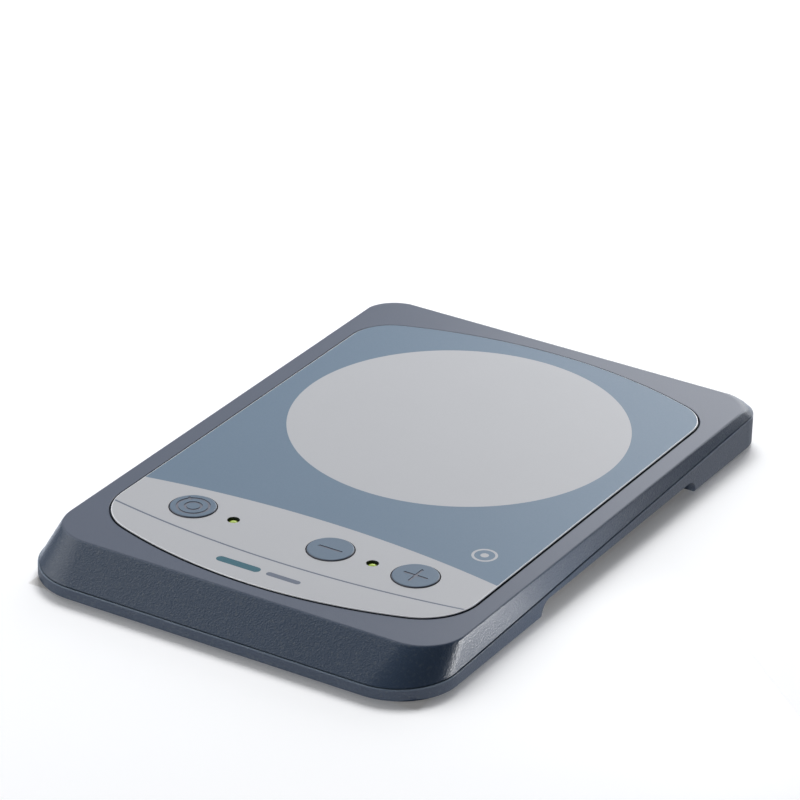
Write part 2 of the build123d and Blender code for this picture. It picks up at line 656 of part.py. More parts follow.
def save(name, solids):
    """Write one node; a node may be a group of separate solids."""
    shape = Compound(children=solids) if isinstance(solids, list) else solids
    shape.label = name
    export_step(shape, f"parts/{name}.step")


def main():
    os.makedirs("parts", exist_ok=True)
    save("base_shell", make_base())
    save("top_cover", make_cover())
    save("front_panel", make_panel())
    save("panel_adhesive", make_adhesive())
    for name in BUTTON_X:
        save(f"button_{name}", make_button(name))
        save(f"switch_stem_{name}", make_plunger(name))
        save(f"switch_{name}", make_switch(name))
    save("light_left", make_light(-LIGHT_X))
    save("light_right", make_light(LIGHT_X))
    save("control_board", make_board())
    save("microcontroller", chip(CONTROLLER_X, LARGE_PARTS_Y, *CONTROLLER_SIZE))
    save("coil_drivers", [chip(x, DRIVER_Y, *DRIVER_SIZE) for x in DRIVER_X])
    save("capacitors", [make_capacitor(x, LARGE_PARTS_Y) for x in CAPACITOR_X])
    save("power_inductor", chip(INDUCTOR_X, LARGE_PARTS_Y, *INDUCTOR_SIZE))
    save("coil_socket", make_coil_socket())
    save("coil_plug", make_coil_plug())
    save("power_connector", make_power_connector())
    save("coil_wires", make_coil_wires())
    save("power_wires", make_power_wires())
    save("yoke_plate", make_yoke())
    for place, (x, y) in zip(("front_left", "front_right", "rear_left", "rear_right"), coil_centres()):
        save(f"coil_former_{place}", make_bobbin(x, y))
        save(f"coil_winding_{place}", make_winding(x, y))
        save(f"coil_core_{place}", make_core(x, y))
    save("power_inlet", make_jack())
    save("power_inlet_pin", make_jack_pin())
    save("power_inlet_tabs", [make_tab(x) for x in (-TAB_X, TAB_X)])
    housing_seat, housing_tip = HOUSING_SCREW_SEAT_Z, HOUSING_SCREW_TIP_Z
    save("housing_screws", make_screws(HOUSING_SCREW_XY, LARGE_SCREW, housing_seat, housing_tip))
    save("board_screws", make_screws(BOARD_SCREW_XY, SMALL_SCREW, BOARD_TOP_Z, SMALL_SCREW_TIP_Z))
    save("yoke_screws", make_screws(YOKE_SCREW_XY, SMALL_SCREW, YOKE_TOP_Z, SMALL_SCREW_TIP_Z))
    for place, (x, y) in PAD_XY.items():
        save(f"foot_pad_{place}", make_pad(x, y))
    plate_z = PAD_GAP + PLATE_POCKET_DEPTH - RATING_PLATE[2] / 2
    save("rating_plate", Pos(0, 0, plate_z) * Box(*RATING_PLATE))


main()
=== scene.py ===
from math import atan2, cos, degrees, pi, radians, sin, sqrt

import bmesh
import bpy
from mathutils import Matrix, Vector
from mathutils.geometry import delaunay_2d_cdt


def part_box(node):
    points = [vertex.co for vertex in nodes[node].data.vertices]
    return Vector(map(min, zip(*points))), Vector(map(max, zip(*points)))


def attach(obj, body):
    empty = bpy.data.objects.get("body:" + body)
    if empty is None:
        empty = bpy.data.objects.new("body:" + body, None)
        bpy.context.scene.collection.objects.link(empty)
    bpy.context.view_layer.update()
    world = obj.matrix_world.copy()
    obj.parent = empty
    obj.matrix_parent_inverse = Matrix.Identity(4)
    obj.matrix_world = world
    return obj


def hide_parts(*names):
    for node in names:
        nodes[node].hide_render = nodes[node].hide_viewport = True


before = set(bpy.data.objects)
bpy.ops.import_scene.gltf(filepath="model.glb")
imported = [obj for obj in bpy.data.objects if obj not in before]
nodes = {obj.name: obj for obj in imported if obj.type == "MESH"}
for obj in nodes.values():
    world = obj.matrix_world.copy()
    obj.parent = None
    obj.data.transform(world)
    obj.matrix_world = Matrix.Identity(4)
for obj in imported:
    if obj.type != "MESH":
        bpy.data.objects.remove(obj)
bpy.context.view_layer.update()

MM = 0.001
HOUSING_BODY = "housing"


# ---------------------------------------------------------------- places read from the frame, in metres
def centre(node):
    """Middle of a CAD node's box."""
    low, high = (Vector(corner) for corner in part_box(node))
    return (low + high) / 2


cover_low, cover_high = (Vector(corner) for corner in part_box("top_cover"))
base_low, base_high = (Vector(corner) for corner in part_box("base_shell"))
panel_low, panel_high = (Vector(corner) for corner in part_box("front_panel"))
BUTTONS = ("power", "minus", "plus")
KEY_PLACES = [centre(f"button_{name}") for name in BUTTONS]
LIGHT_PLACES = [centre("light_left"), centre("light_right")]
DISC_CENTRE = centre("yoke_plate")       # the disc is printed right above the coils

# Shape of the cover and the panel, as in the CAD model
TOP_Z = cover_high.z
JOINT_FRONT_Z = cover_low.z
JOINT_REAR_Z = base_high.z
LEDGE = base_high.x - cover_high.x
BASE_FRONT_RADIUS, BASE_REAR_RADIUS = 17.1 * MM, 8.8 * MM
TOP_HALF_WIDTH, TOP_FRONT_Y, TOP_REAR_Y = 58.95 * MM, -78.5 * MM, 88.3 * MM
TOP_FRONT_RADIUS, TOP_REAR_RADIUS = 12.3 * MM, 11.6 * MM
EDGE_ROUNDING = 0.4 * MM                 # how far the soft edge reaches over the flat top and down the wall
EDGE_SLOPE_SHARE = 0.02                  # down the wall it reaches this share of the wall's length further
EDGE_BAND = 0.15 * MM                    # narrow ring inside the soft edge, which keeps the top shading flat
REAR_SHOULDER = 3.6 * MM                 # how much smaller the wall's rear corner radius is than the top's
JOINT_GAP = 0.25 * MM
CEILING_Z = 9.8 * MM
HOLLOW_HALF_WIDTH, HOLLOW_REAR_Y, HOLLOW_REAR_RADIUS = 56.2 * MM, 85.7 * MM, 7.5 * MM
HOLLOW_LOW = (-86.2 * MM, 14.0 * MM)     # front end and corner radius at the joint
HOLLOW_HIGH = (-77.4 * MM, 11.0 * MM)    # the same under the ceiling
PANEL_BOW_RADIUS = 126.8 * MM
PANEL_FRONT_RADIUS, PANEL_REAR_RADIUS = 16.5 * MM, 13.0 * MM
PANEL_GAP = 0.5 * MM
PANEL_BEVEL = 0.26 * MM
BEVEL_MIDDLE = 0.3                       # share of the bevel, inwards and down, where its two slopes meet
RECESS_LIP = 0.12 * MM                   # chamfer round the recess
ADHESIVE_THICKNESS = 0.2 * MM
RECESS_FLOOR_Z = panel_low.z - ADHESIVE_THICKNESS
KEY_HOLE_RADIUS = 6.4 * MM
LIGHT_HOLE_RADIUS = 1.65 * MM

# Print on the panel
DISC_RADIUS = 46.1 * MM
BAND_RADIUS, BAND_TOP_Y = 275 * MM, -35.7 * MM
LINE_RADIUS, LINE_Y, LINE_WIDTH, LINE_HALF_LENGTH = 277 * MM, -60.85 * MM, 0.6 * MM, 52.75 * MM
MARK_Y = -67.2 * MM
MARK_BARS = ((-7.0 * MM, 13.0 * MM, 2.6 * MM), (6.4 * MM, 10.0 * MM, 1.8 * MM))       # middle, length, width
ICON_PLACE = Vector((42.3 * MM, -28.7 * MM))
ICON_RING = (2.7 * MM, 3.4 * MM)
ICON_DOT = 1.1 * MM
# The edge ink is a painted highlight on the bevel, the back ink painted shade on the sides and hole walls
FIELD_INK, LIGHT_INK, DARK_INK, TEAL_INK, EDGE_HIGHLIGHT_INK, BACK_SHADE_INK = range(6)

# How finely curves are divided
CORNER_STEPS = 24
SIDE_STEPS = 24
BOW_STEPS = 32
PANEL_CORNER_STEPS = 20
BAR_END_STEPS = 10
PRINT_ARC_STEPS = 96
DISC_STEPS = 180
KEY_HOLE_STEPS = 96
LIGHT_HOLE_STEPS = 48
ICON_STEPS = 40
WALL_STEPS = 8
EDGE_STEPS = 8
ROUGH_WALL_LOOPS = WALL_STEPS + EDGE_STEPS // 2 + 1      # the wall's texture ends halfway over the soft edge


# ---------------------------------------------------------------- outlines
def arc(middle, radius, start, end, steps):
    """Points of an arc, end points included; angles in degrees."""
    points = []
    for step in range(steps + 1):
        angle = radians(start + (end - start) * step / steps)
        points.append(Vector((middle[0] + radius * cos(angle), middle[1] + radius * sin(angle))))
    return points


def circle(middle, radius, steps):
    """Closed loop of points on a circle."""
    return arc(middle, radius, 0, 360, steps)[:-1]


def between(start, end, steps):
    """Points strictly between two ends."""
    return [start.lerp(end, step / steps) for step in range(1, steps)]


def rounded_outline(half_width, front_y, rear_y, front_radius, rear_radius):
    """Loop of a rectangle with one corner radius in front and one at the rear; always as many points."""
    corners = [
        arc((half_width - front_radius, front_y + front_radius), front_radius, -90, 0, CORNER_STEPS),
        arc((half_width - rear_radius, rear_y - rear_radius), rear_radius, 0, 90, CORNER_STEPS),
        arc((rear_radius - half_width, rear_y - rear_radius), rear_radius, 90, 180, CORNER_STEPS),
        arc((front_radius - half_width, front_y + front_radius), front_radius, 180, 270, CORNER_STEPS),
    ]
    loop = []
    for index, corner in enumerate(corners):
        following = corners[(index + 1) % 4]
        loop += corner + between(corner[-1], following[0], SIDE_STEPS)
    return loop


def outward_normals(loop):
    """Outward directions of a loop that runs anticlockwise."""
    normals = []
    for index in range(len(loop)):
        along = loop[(index + 1) % len(loop)] - loop[index - 1]
        normals.append(Vector((along.y, -along.x)).normalized())
    return normals


def panel_outline(margin):
    """Loop of the panel, moved outwards by margin; each straight side has a point where the band ends."""
    half_width = panel_high.x + margin
    bow = PANEL_BOW_RADIUS + margin
    quarters = []
    ends = ((panel_low.y, PANEL_FRONT_RADIUS, -1), (panel_high.y, PANEL_REAR_RADIUS, 1))
    for end_y, radius, side in ends:
        radius = radius + margin
        bow_y = end_y - side * PANEL_BOW_RADIUS
        reach = sqrt((bow - radius) ** 2 - (half_width - radius) ** 2)
        corner = (half_width - radius, bow_y + side * reach)
        tangent = degrees(atan2(side * reach, half_width - radius))
        quarters.append((corner, radius, tangent, (0, bow_y)))
    (front, front_radius, front_turn, front_bow), (rear, rear_radius, rear_turn, rear_bow) = quarters
    right = arc(front_bow, bow, -90, front_turn, BOW_STEPS)
    right += arc(front, front_radius, front_turn, 0, PANEL_CORNER_STEPS)[1:]
    band_y = sqrt(BAND_RADIUS**2 - half_width**2) + BAND_TOP_Y - BAND_RADIUS
    right += [Vector((half_width, band_y))]
    right += arc(rear, rear_radius, 0, rear_turn, PANEL_CORNER_STEPS)
    right += arc(rear_bow, bow, rear_turn, 90, BOW_STEPS)[1:]
    left = [Vector((-point.x, point.y)) for point in reversed(right[1:-1])]
    return right + left


def capsule(middle, length, width):
    """Loop of a bar with round ends, lying along x."""
    reach = (length - width) / 2
    right = arc((middle[0] + reach, middle[1]), width / 2, -90, 90, BAR_END_STEPS)
    left = arc((middle[0] - reach, middle[1]), width / 2, 90, 270, BAR_END_STEPS)
    return right + left


# ---------------------------------------------------------------- mesh building
CUT_TOLERANCE = 1e-9
WELD_DISTANCE = 1e-7


def inside(point, loop):
    """True if the point lies inside the closed loop."""
    hit = False
    for index in range(len(loop)):
        a, b = loop[index - 1], loop[index]
        crosses = (a.y > point.y) != (b.y > point.y)
        if crosses and point.x < (b.x - a.x) * (point.y - a.y) / (b.y - a.y) + a.x:
            hit = not hit
    return hit


def lifted(loop, z):
    """The plan loop as points at one height."""
    return [Vector((point.x, point.y, z)) for point in loop]


def bridge(bm, loops, material):
    """Quads between each pair of neighbouring loops, which have the same number of points."""
    rings = [[bm.verts.new(point) for point in loop] for loop in loops]
    for low, high in zip(rings, rings[1:]):
        for index in range(len(low)):
            face = bm.faces.new((low[index - 1], low[index], high[index], high[index - 1]))
            face.material_index = material


def fill_flat(bm, z, boundary, holes=(), lines=(), up=True, zone=None):
    """Flat face between a loop and its holes, cut along extra lines; zone gives each part its material."""
    points, edges = [], []
    for loop, closed in [(boundary, True)] + [(hole, True) for hole in holes] + list(lines):
        first = len(points)
        points += loop
        edges += [(first + index, first + index + 1) for index in range(len(loop) - 1)]
        if closed:
            edges.append((first + len(loop) - 1, first))
    verts, _, faces, *_ = delaunay_2d_cdt(points, edges, [], 0, CUT_TOLERANCE)
    made = [bm.verts.new((point.x, point.y, z)) for point in verts]
    for corners in faces:
        middle = sum((verts[corner] for corner in corners), Vector((0, 0))) / len(corners)
        if not inside(middle, boundary) or any(inside(middle, hole) for hole in holes):
            continue
        face = bm.faces.new([made[corner] for corner in (corners if up else reversed(corners))])
        face.material_index = zone(middle) if zone else 0


def finish_piece(name, bm, materials, body, replaced, sharp):
    """Turns the mesh into an object that rides on a body; an edge over sharp degrees stays sharp."""
    bmesh.ops.remove_doubles(bm, verts=bm.verts, dist=WELD_DISTANCE)
    loose = [vert for vert in bm.verts if not vert.link_faces]
    bmesh.ops.delete(bm, geom=loose, context="VERTS")
    mesh = bpy.data.meshes.new(name)
    bm.to_mesh(mesh)
    bm.free()
    mesh.polygons.foreach_set("use_smooth", [True] * len(mesh.polygons))
    mesh.set_sharp_from_angle(angle=radians(sharp))
    for material in materials:
        mesh.materials.append(material)
    piece = bpy.data.objects.new(name, mesh)
    bpy.context.scene.collection.objects.link(piece)
    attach(piece, body)
    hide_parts(*replaced)


# ---------------------------------------------------------------- materials
WAVE_UNIT = 2 * pi / 20                  # a wave texture with this scale has one band to each unit of length
KEY_TOP_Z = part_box("button_power")[1][2]
SIGN_DEPTHS = (0.10 * MM, 0.04 * MM)     # below the key's top: fully the sign's colour, fully the cap's

# Linear colours
WALL_COLOURS = ((0.028, 0.050, 0.087), (0.035, 0.060, 0.104))
# Light grains and spots of the walls: partly the grain's own tone, partly painted glints
WALL_PAINTED_GLINT = (0.095, 0.120, 0.155)
WALL_PAINTED_SPARKLE = (0.056, 0.078, 0.110)
# Painted highlight: the lighter colour of the base's front upper edge under the joint line
WALL_PAINTED_HIGHLIGHT = (0.115, 0.155, 0.205)
KEY_COLOURS = ((0.090, 0.134, 0.185), (0.098, 0.145, 0.198))
KEY_SIGN = (0.138, 0.143, 0.172)
COPPER_COLOURS = ((0.30, 0.08, 0.02), (0.75, 0.28, 0.10))
BOARD_COLOURS = ((0.006, 0.09, 0.035), (0.015, 0.16, 0.05))
LENS_COLOURS = ((0.26, 0.38, 0.03), (0.50, 0.62, 0.12))
LENS_GLOW = (0.45, 0.62, 0.06, 1)

# Texture sizes
BROAD_MOTTLE, WALL_MOTTLE, KEY_MOTTLE = 60, 45, 80       # noise scales of slow changes of colour, per metre
WALL_CELL, WALL_GRAIN, WALL_SPARK_SIZE = 0.55 * MM, 0.3 * MM, 0.8 * MM
WALL_RELIEF = 0.085 * MM
KEY_GRAIN, KEY_RELIEF = 0.35 * MM, 0.006 * MM
WIRE_PITCH, WIRE_RELIEF, WIRE_CLOUD = 0.4 * MM, 0.08 * MM, 900
TRACK_LENGTH, TRACK_PITCH, TRACK_WIDTH, TRACK_RELIEF = 4.2 * MM, 1.7 * MM, 0.22 * MM, 0.035 * MM
BOARD_CLOUD, LENS_CLOUD = 500, 1200
SCRATCH_STRETCH = (1, 6, 1)
METAL_RELIEF = 0.004 * MM

# Parts of the noise's range that the wall's light grains and softer spots take up; these are partly painted
# glints
WALL_PAINTED_GLINT_RANGE, WALL_PAINTED_SPARKLE_RANGE = (0.60, 0.74), (0.56, 0.72)

# Roughness at the low and the high end of the noise
WALL_ROUGHNESS = (0.38, 0.26)
KEY_ROUGHNESS = (0.36, 0.46)
WIRE_ROUGHNESS = (0.22, 0.36)
BOARD_ROUGHNESS = (0.22, 0.34)
LENS_ROUGHNESS = (0.10, 0.2)
MOULDED_ROUGHNESS_SHARES = (0.85, 1.15)

# Painted highlight, a lighter band along the base's front upper edge: how far below the joint line it starts
# to fade and ends, and the stretch of the sides over which it fades out
HIGHLIGHT_FADE = (0.12 * MM, 0.42 * MM)
HIGHLIGHT_END = (-82 * MM, -62 * MM)


def new_material(name):
    """Empty material with its shader, node tree and object coordinates."""
    material = bpy.data.materials.new(name)
    material.use_nodes = True
    tree = material.node_tree
    coordinates = tree.nodes.new("ShaderNodeTexCoord").outputs["Object"]
    return material, tree, tree.nodes["Principled BSDF"], coordinates


def noise(tree, coordinates, scale, detail, roughness=0.5):
    """Noise over the object's own coordinates."""
    node = tree.nodes.new("ShaderNodeTexNoise")
    node.inputs["Scale"].default_value = scale
    node.inputs["Detail"].default_value = detail
    node.inputs["Roughness"].default_value = roughness
    tree.links.new(coordinates, node.inputs["Vector"])
    return node.outputs["Fac"]


def spread(tree, value, low, high, start=0.3, end=0.7):
    """The value's middle range, stretched between two numbers."""
    node = tree.nodes.new("ShaderNodeMapRange")
    node.inputs["From Min"].default_value = start
    node.inputs["From Max"].default_value = end
    node.inputs["To Min"].default_value = low
    node.inputs["To Max"].default_value = high
    tree.links.new(value, node.inputs["Value"])
    return node.outputs["Result"]


def blend_colours(tree, factor, first, second):
    """Mix of two colours by a factor that varies over the surface."""
    node = tree.nodes.new("ShaderNodeMix")
    node.data_type = "RGBA"
    node.inputs["A"].default_value = (*first, 1)
    node.inputs["B"].default_value = (*second, 1)
    tree.links.new(factor, node.inputs["Factor"])
    return node.outputs["Result"]


def tint(tree, factor, under, colour):
    """The colour that comes from another node, turned towards a fixed one by a factor."""
    node = tree.nodes.new("ShaderNodeMix")
    node.data_type = "RGBA"
    tree.links.new(factor, node.inputs["Factor"])
    tree.links.new(under, node.inputs["A"])
    node.inputs["B"].default_value = (*colour, 1)
    return node.outputs["Result"]


def bumped(tree, shader, height, distance):
    """Surface relief from a height between 0 and 1."""
    node = tree.nodes.new("ShaderNodeBump")
    node.inputs["Strength"].default_value = 1.0
    node.inputs["Distance"].default_value = distance
    tree.links.new(height, node.inputs["Height"])
    tree.links.new(node.outputs["Normal"], shader.inputs["Normal"])


def moulded(name, colour, roughness, grain, relief, mottle, specular=0.5):
    """Moulded plastic: fine grain, slight mottling of the colour and of the gloss."""
    material, tree, shader, coordinates = new_material(name)
    broad = noise(tree, coordinates, BROAD_MOTTLE, 3)
    fine = noise(tree, coordinates, 1 / grain, 3, 0.6)
    dark = [channel * (1 - mottle) for channel in colour]
    light = [channel * (1 + mottle) for channel in colour]
    tree.links.new(blend_colours(tree, broad, dark, light), shader.inputs["Base Color"])
    low, high = (roughness * share for share in MOULDED_ROUGHNESS_SHARES)
    tree.links.new(spread(tree, fine, low, high), shader.inputs["Roughness"])
    shader.inputs["Specular IOR Level"].default_value = specular
    bumped(tree, shader, fine, relief)
    return material


def product(tree, first, second):
    """The two values multiplied."""
    node = tree.nodes.new("ShaderNodeMath")
    node.operation = "MULTIPLY"
    tree.links.new(first, node.inputs[0])
    tree.links.new(second, node.inputs[1])
    return node.outputs[0]


def along_axis(tree, coordinates, axis):
    """One coordinate of the surface point."""
    node = tree.nodes.new("ShaderNodeSeparateXYZ")
    tree.links.new(coordinates, node.inputs[0])
    return node.outputs[axis]


def front_rim_highlight(tree, coordinates):
    """Mask of the painted highlight: 1 on the base just under the joint line in front, fading to 0 below it
    and towards the rear.
    """
    slope = (JOINT_REAR_Z - JOINT_FRONT_Z) / (base_high.y - base_low.y)
    depth = tree.nodes.new("ShaderNodeVectorMath")
    depth.operation = "DOT_PRODUCT"
    depth.inputs[1].default_value = (0, slope, -1)
    tree.links.new(coordinates, depth.inputs[0])
    joint = slope * base_low.y - JOINT_FRONT_Z
    edge = spread(tree, depth.outputs["Value"], 1, 0, joint + HIGHLIGHT_FADE[0], joint + HIGHLIGHT_FADE[1])
    front = spread(tree, along_axis(tree, coordinates, "Y"), 1, 0, *HIGHLIGHT_END)
    return product(tree, edge, front)


def textured_wall(name, front_highlight=False):
    """Spark-eroded texture of the housing's walls, whose light grains are partly painted glints; with the
    flag set, a painted highlight lightens the front edge under the joint line.
    """
    material, tree, shader, coordinates = new_material(name)
    broad = noise(tree, coordinates, WALL_MOTTLE, 3)
    grains = tree.nodes.new("ShaderNodeTexVoronoi")
    grains.inputs["Scale"].default_value = 1 / WALL_CELL
    tree.links.new(coordinates, grains.inputs["Vector"])
    fine = noise(tree, coordinates, 1 / WALL_GRAIN, 3, 0.6)
    base = blend_colours(tree, broad, *WALL_COLOURS)
    # Lighter grains and spots, partly painted glints of the grained plastic
    colour = tint(tree, spread(tree, fine, 0, 1, *WALL_PAINTED_GLINT_RANGE), base, WALL_PAINTED_GLINT)
    painted_sparkles = noise(tree, coordinates, 1 / WALL_SPARK_SIZE, 1, 0.4)
    colour = tint(tree, spread(tree, painted_sparkles, 0, 1, *WALL_PAINTED_SPARKLE_RANGE), colour, WALL_PAINTED_SPARKLE)
    # Painted highlight along the base's front edge
    if front_highlight:
        colour = tint(tree, front_rim_highlight(tree, coordinates), colour, WALL_PAINTED_HIGHLIGHT)
    tree.links.new(colour, shader.inputs["Base Color"])
    tree.links.new(spread(tree, fine, *WALL_ROUGHNESS), shader.inputs["Roughness"])
    shader.inputs["Specular IOR Level"].default_value = 0.9
    bumped(tree, shader, product(tree, grains.outputs["Distance"], fine), WALL_RELIEF)
    return material


def key_material():
    """Satin key: the floor of its engraved sign is greyer than the cap."""
    material, tree, shader, coordinates = new_material("key")
    fine = noise(tree, coordinates, 1 / KEY_GRAIN, 3, 0.6)
    cap = blend_colours(tree, noise(tree, coordinates, KEY_MOTTLE, 2), *KEY_COLOURS)
    depths = [KEY_TOP_Z - depth for depth in SIGN_DEPTHS]
    deep = spread(tree, along_axis(tree, coordinates, "Z"), 1, 0, *depths)
    tree.links.new(tint(tree, deep, cap, KEY_SIGN), shader.inputs["Base Color"])
    tree.links.new(spread(tree, fine, *KEY_ROUGHNESS), shader.inputs["Roughness"])
    bumped(tree, shader, fine, KEY_RELIEF)
    return material


def metal(name, colour, roughness, scratches=0.35, grain=0.4 * MM):
    """Bare metal with fine handling marks: uneven gloss and a slight change of tone."""
    material, tree, shader, coordinates = new_material(name)
    stretch = tree.nodes.new("ShaderNodeMapping")
    stretch.inputs["Scale"].default_value = SCRATCH_STRETCH
    tree.links.new(coordinates, stretch.inputs["Vector"])
    streaks = noise(tree, stretch.outputs["Vector"], 1 / grain, 4, 0.6)
    dark = [channel * 0.8 for channel in colour]
    tree.links.new(blend_colours(tree, streaks, dark, colour), shader.inputs["Base Color"])
    low, high = roughness * (1 - scratches), roughness * (1 + scratches)
    tree.links.new(spread(tree, streaks, low, high), shader.inputs["Roughness"])
    shader.inputs["Metallic"].default_value = 1
    bumped(tree, shader, streaks, METAL_RELIEF)
    return material


def copper_wire():
    """Enamelled copper wire wound in layers, one turn above the other."""
    material, tree, shader, coordinates = new_material("winding_copper")
    wave = tree.nodes.new("ShaderNodeTexWave")
    wave.wave_type = "BANDS"
    wave.bands_direction = "Z"
    wave.inputs["Scale"].default_value = WAVE_UNIT / WIRE_PITCH
    tree.links.new(coordinates, wave.inputs["Vector"])
    turns = wave.outputs["Fac"]
    tree.links.new(blend_colours(tree, turns, *COPPER_COLOURS), shader.inputs["Base Color"])
    shader.inputs["Metallic"].default_value = 0.85
    cloud = noise(tree, coordinates, WIRE_CLOUD, 3)
    tree.links.new(spread(tree, cloud, *WIRE_ROUGHNESS), shader.inputs["Roughness"])
    bumped(tree, shader, turns, WIRE_RELIEF)
    return material


def solder_mask():
    """Circuit board: green mask over raised copper tracks, on a square grid."""
    material, tree, shader, coordinates = new_material("board")
    tracks = tree.nodes.new("ShaderNodeTexBrick")
    tracks.inputs["Scale"].default_value = 1
    tracks.inputs["Brick Width"].default_value = TRACK_LENGTH
    tracks.inputs["Row Height"].default_value = TRACK_PITCH
    tracks.inputs["Mortar Size"].default_value = TRACK_WIDTH
    tracks.inputs["Mortar Smooth"].default_value = 0.2
    tree.links.new(coordinates, tracks.inputs["Vector"])
    mask = blend_colours(tree, tracks.outputs["Fac"], *BOARD_COLOURS)
    tree.links.new(mask, shader.inputs["Base Color"])
    cloud = noise(tree, coordinates, BOARD_CLOUD, 2)
    tree.links.new(spread(tree, cloud, *BOARD_ROUGHNESS), shader.inputs["Roughness"])
    bumped(tree, shader, tracks.outputs["Fac"], TRACK_RELIEF)
    return material


def floor_material():
    """Pale matt table that glows a little, so that it stays nearly white away from the lights."""
    material = moulded("floor", (0.90, 0.90, 0.90), 0.9, 3 * MM, 0.0, 0.003, 0.1)
    shader = material.node_tree.nodes["Principled BSDF"]
    shader.inputs["Emission Color"].default_value = (1, 1, 1, 1)
    shader.inputs["Emission Strength"].default_value = 0.12
    return material


def lamp_lens():
    """Diffused yellow-green epoxy: a cloudy body under a glossy skin."""
    material, tree, shader, coordinates = new_material("lamp_lens")
    cloud = noise(tree, coordinates, LENS_CLOUD, 3)
    tree.links.new(blend_colours(tree, cloud, *LENS_COLOURS), shader.inputs["Base Color"])
    tree.links.new(spread(tree, cloud, *LENS_ROUGHNESS), shader.inputs["Roughness"])
    shader.inputs["Emission Color"].default_value = LENS_GLOW
    shader.inputs["Emission Strength"].default_value = 0.16
    shader.inputs["Coat Weight"].default_value = 0.6
    return material


WALL_PLASTIC = textured_wall("housing_wall")
# The base's walls carry the painted highlight along their front upper edge
BASE_PLASTIC = textured_wall("housing_base", front_highlight=True)
TOP_PLASTIC = moulded("housing_top", (0.030, 0.044, 0.076), 0.36, 0.30 * MM, 0.006 * MM, 0.05, 0.9)
# Darker, duller plastic on the recess and hole walls and the panel's sides: painted shade in the gaps round
# the panel and keys
RECESS_SHADE_PLASTIC = moulded("housing_recess_painted_shade", (0.020, 0.026, 0.038), 0.55, 0.30 * MM, 0.01 * MM, 0.05, 0.3)
FIELD_PRINT = moulded("panel_field", (0.100, 0.157, 0.218), 0.38, 0.45 * MM, 0.003 * MM, 0.02)
LIGHT_PRINT = moulded("panel_light", (0.405, 0.408, 0.418), 0.42, 0.45 * MM, 0.003 * MM, 0.012, 0.4)
DARK_PRINT = moulded("panel_line", (0.10, 0.12, 0.16), 0.40, 0.45 * MM, 0.003 * MM, 0.02)
TEAL_PRINT = moulded("panel_mark", (0.002, 0.085, 0.115), 0.40, 0.45 * MM, 0.003 * MM, 0.02)
# Near-white bevel round the panel's face: a painted highlight along its edge
EDGE_PAINTED_HIGHLIGHT = moulded("panel_edge_painted_highlight", (0.84, 0.85, 0.87), 0.30, 0.45 * MM, 0.002 * MM, 0.02, 0.8)
KEY_PLASTIC = key_material()
LENS = lamp_lens()
RUBBER = moulded("pad_rubber", (0.020, 0.020, 0.022), 0.75, 0.4 * MM, 0.03 * MM, 0.1, 0.3)
BOARD_MASK = solder_mask()
CHIP_BLACK = moulded("chip_epoxy", (0.014, 0.014, 0.015), 0.55, 0.12 * MM, 0.012 * MM, 0.15, 0.4)
SWITCH_BLACK = moulded("switch_body_plastic", (0.025, 0.025, 0.027), 0.45, 0.3 * MM, 0.008 * MM, 0.1)
STEM_PLASTIC = moulded("switch_stem_plastic", (0.40, 0.10, 0.03), 0.4, 0.3 * MM, 0.006 * MM, 0.06)
NYLON = moulded("connector_nylon", (0.70, 0.67, 0.58), 0.5, 0.5 * MM, 0.008 * MM, 0.04)
FORMER_NYLON = moulded("former_nylon", (0.05, 0.05, 0.052), 0.5, 0.4 * MM, 0.01 * MM, 0.08)
WIRE_JACKET = moulded("wire_jacket", (0.30, 0.03, 0.025), 0.45, 0.5 * MM, 0.006 * MM, 0.08)
COIL_JACKET = moulded("coil_lead_jacket", (0.04, 0.09, 0.28), 0.45, 0.5 * MM, 0.006 * MM, 0.08)
ADHESIVE_FOAM = moulded("adhesive_sheet", (0.50, 0.48, 0.42), 0.7, 0.25 * MM, 0.01 * MM, 0.06, 0.3)
INLET_BLACK = moulded("inlet_plastic", (0.016, 0.016, 0.018), 0.35, 0.4 * MM, 0.006 * MM, 0.1)
COPPER = copper_wire()
STEEL = metal("sheet_steel", (0.45, 0.46, 0.47), 0.35)
CORE_STEEL = metal("core_steel", (0.36, 0.36, 0.37), 0.45)
SCREW_STEEL = metal("screw_steel", (0.62, 0.61, 0.58), 0.25, 0.3, 0.3 * MM)
ALUMINIUM = metal("can_aluminium", (0.72, 0.73, 0.74), 0.28)
BRASS = metal("contact_brass", (0.72, 0.52, 0.24), 0.28)
FOIL = metal("plate_foil", (0.60, 0.61, 0.62), 0.38, 0.2, 0.6 * MM)
FLOOR = floor_material()


# ---------------------------------------------------------------- the cover
def joint_z(y):
    """Height of the sloping joint line."""
    share = (y - base_low.y) / (base_high.y - base_low.y)
    return JOINT_FRONT_Z + (JOINT_REAR_Z - JOINT_FRONT_Z) * share


